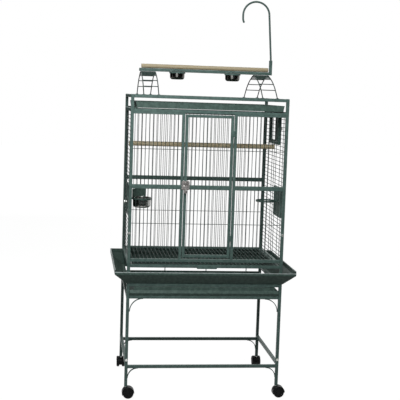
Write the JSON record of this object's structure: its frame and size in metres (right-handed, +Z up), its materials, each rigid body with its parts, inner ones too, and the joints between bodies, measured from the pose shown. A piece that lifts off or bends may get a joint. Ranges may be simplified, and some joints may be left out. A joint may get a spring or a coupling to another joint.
{
  "type": "play top bird cage",
  "caption": "Play top bird cage on a rolling stand, with wire walls, a front door, swing-out feeders, seed skirts, pull-out trays, ladders, perches and a toy hook.",
  "frame": {"origin": "on the floor, under the middle of the stand", "axes": "+Z up, +Y to the back, +X to the right of someone facing the front door"},
  "size_m": [0.942, 0.672, 2.0898],
  "materials": {
    "frame_paint": "hammered dark green-grey powder coat on square tube",
    "wire_paint": "dark green-grey powder coat on wire",
    "sheet_paint": "dark green-grey powder coat on folded sheet",
    "bowl_steel": "polished stainless steel",
    "lock_metal": "satin die-cast metal",
    "zinc": "bright zinc plating",
    "perch_wood": "plain sanded softwood",
    "caster_black": "black moulded nylon"
  },
  "bodies": {
    "cage": {"shelf_frame": "frame_paint", "stand_side_left": "frame_paint", "stand_side_right": "frame_paint", "stand_beam_front": "frame_paint", "stand_beam_back": "frame_paint", "stand_rail_front": "frame_paint", "stand_rail_back": "frame_paint", "side_wall_left": "frame_paint", "side_wall_right": "frame_paint", "front_wall": "frame_paint", "back_wall": "frame_paint", "deck_beam_front": "frame_paint", "deck_beam_back": "frame_paint", "perch_bar": "frame_paint", "cup_holder_left": "frame_paint", "cup_holder_right": "frame_paint", "roof_grille": "wire_paint", "ladder_left": "wire_paint", "ladder_right": "wire_paint", "skirt_front": "sheet_paint", "skirt_back": "sheet_paint", "skirt_left": "sheet_paint", "skirt_right": "sheet_paint", "door_hinge_pin_low": "zinc", "door_hinge_pin_high": "zinc", "leg_bolt_front_left": "zinc", "leg_bolt_front_right": "zinc", "leg_bolt_back_left": "zinc", "leg_bolt_back_right": "zinc", "post_bolt_front_left": "zinc", "post_bolt_front_right": "zinc", "post_bolt_back_left": "zinc", "post_bolt_back_right": "zinc", "inner_perch": "perch_wood", "top_perch": "perch_wood"},
    "caster_swivel_front_left": {"caster_hood_front_left": "caster_black"},
    "caster_axle_front_left": {"caster_wheels_front_left": "caster_black"},
    "caster_swivel_front_right": {"caster_hood_front_right": "caster_black"},
    "caster_axle_front_right": {"caster_wheels_front_right": "caster_black"},
    "caster_swivel_back_left": {"caster_hood_back_left": "caster_black"},
    "caster_axle_back_left": {"caster_wheels_back_left": "caster_black"},
    "caster_swivel_back_right": {"caster_hood_back_right": "caster_black"},
    "caster_axle_back_right": {"caster_wheels_back_right": "caster_black"},
    "bottom_drawer": {"bottom_tray": "sheet_paint"},
    "top_drawer": {"top_tray": "sheet_paint"},
    "grate_drawer": {"floor_grate": "wire_paint"},
    "door": {"front_door": "frame_paint", "door_lock_plate": "lock_metal"},
    "door_lock": {"door_lock_knob": "lock_metal"},
    "feeder_leaf_left": {"feeder_door_left": "frame_paint"},
    "feeder_leaf_right": {"feeder_door_right": "frame_paint"},
    "feeder_turn_left": {"feeder_latch_left": "zinc"},
    "feeder_turn_right": {"feeder_latch_right": "zinc"},
    "feeder_bowl": {"feeder_bowl_left": "bowl_steel"},
    "nest_leaf": {"nest_door": "frame_paint"},
    "nest_turn": {"nest_latch": "zinc"},
    "play_cup_left": {"cup_left": "bowl_steel"},
    "play_cup_right": {"cup_right": "bowl_steel"},
    "hook": {"toy_hook": "frame_paint"}
  },
  "joints": [
    {"name": "door_hinge", "type": "hinge", "parent": "cage", "child": "door", "pos_m": [0.1245, -0.29605, 1.109], "axis": [0, 0, 1], "range_deg": [0, 160]},
    {"name": "door_lock_turn", "type": "hinge", "parent": "door", "child": "door_lock", "pos_m": [-0.1185, -0.284, 1.10787], "axis": [0, -1, 0], "range_deg": [0, 90]},
    {"name": "feeder_hinge_left", "type": "hinge", "parent": "cage", "child": "feeder_leaf_left", "pos_m": [-0.3985, -0.206, 1.022], "axis": [0, 0, 1], "range_deg": [0, 95]},
    {"name": "feeder_hinge_right", "type": "hinge", "parent": "cage", "child": "feeder_leaf_right", "pos_m": [0.3985, -0.206, 1.022], "axis": [0, 0, -1], "range_deg": [0, 95]},
    {"name": "feeder_latch_turn_left", "type": "hinge", "parent": "feeder_leaf_left", "child": "feeder_turn_left", "pos_m": [-0.3985, -0.0645, 1.00492], "axis": [-1, 0, 0], "range_deg": [0, 90]},
    {"name": "feeder_latch_turn_right", "type": "hinge", "parent": "feeder_leaf_right", "child": "feeder_turn_right", "pos_m": [0.3985, -0.0645, 1.00492], "axis": [-1, 0, 0], "range_deg": [0, 90]},
    {"name": "feeder_bowl_lift", "type": "slide", "parent": "feeder_leaf_left", "child": "feeder_bowl", "axis": [0, 0, 1], "range_m": [0, 0.06]},
    {"name": "nest_hinge", "type": "hinge", "parent": "cage", "child": "nest_leaf", "pos_m": [0.3985, 0.106, 1.4135], "axis": [0, 0, 1], "range_deg": [0, 100]},
    {"name": "nest_latch_turn", "type": "hinge", "parent": "nest_leaf", "child": "nest_turn", "pos_m": [0.3985, -0.0895, 1.4135], "axis": [1, 0, 0], "range_deg": [0, 90]},
    {"name": "bottom_tray_slide", "type": "slide", "parent": "cage", "child": "bottom_drawer", "axis": [0, -1, 0], "range_m": [0, 0.5]},
    {"name": "top_tray_slide", "type": "slide", "parent": "cage", "child": "top_drawer", "axis": [0, -1, 0], "range_m": [0, 0.5]},
    {"name": "grate_slide", "type": "slide", "parent": "cage", "child": "grate_drawer", "axis": [0, -1, 0], "range_m": [0, 0.5]},
    {"name": "cup_lift_left", "type": "slide", "parent": "cage", "child": "play_cup_left", "axis": [0, 0, 1], "range_m": [0, 0.06]},
    {"name": "cup_lift_right", "type": "slide", "parent": "cage", "child": "play_cup_right", "axis": [0, 0, 1], "range_m": [0, 0.06]},
    {"name": "hook_turn", "type": "hinge", "parent": "cage", "child": "hook", "pos_m": [0.35703, 0, 1.72], "axis": [0, 0, 1], "continuous": true},
    {"name": "caster_swivel_turn_front_left", "type": "hinge", "parent": "cage", "child": "caster_swivel_front_left", "pos_m": [-0.3985, -0.284, 0.06], "axis": [0, 0, 1], "continuous": true},
    {"name": "caster_wheel_turn_front_left", "type": "hinge", "parent": "caster_swivel_front_left", "child": "caster_axle_front_left", "pos_m": [-0.3855, -0.284, 0.028], "axis": [0, 1, 0], "continuous": true},
    {"name": "caster_swivel_turn_front_right", "type": "hinge", "parent": "cage", "child": "caster_swivel_front_right", "pos_m": [0.3985, -0.284, 0.06], "axis": [0, 0, 1], "continuous": true},
    {"name": "caster_wheel_turn_front_right", "type": "hinge", "parent": "caster_swivel_front_right", "child": "caster_axle_front_right", "pos_m": [0.4115, -0.284, 0.028], "axis": [0, 1, 0], "continuous": true},
    {"name": "caster_swivel_turn_back_left", "type": "hinge", "parent": "cage", "child": "caster_swivel_back_left", "pos_m": [-0.3985, 0.284, 0.06], "axis": [0, 0, 1], "continuous": true},
    {"name": "caster_wheel_turn_back_left", "type": "hinge", "parent": "caster_swivel_back_left", "child": "caster_axle_back_left", "pos_m": [-0.3985, 0.297, 0.028], "axis": [1, 0, 0], "continuous": true},
    {"name": "caster_swivel_turn_back_right", "type": "hinge", "parent": "cage", "child": "caster_swivel_back_right", "pos_m": [0.3985, 0.284, 0.06], "axis": [0, 0, 1], "continuous": true},
    {"name": "caster_wheel_turn_back_right", "type": "hinge", "parent": "caster_swivel_back_right", "child": "caster_axle_back_right", "pos_m": [0.3985, 0.297, 0.028], "axis": [1, 0, 0], "continuous": true}
  ]
}
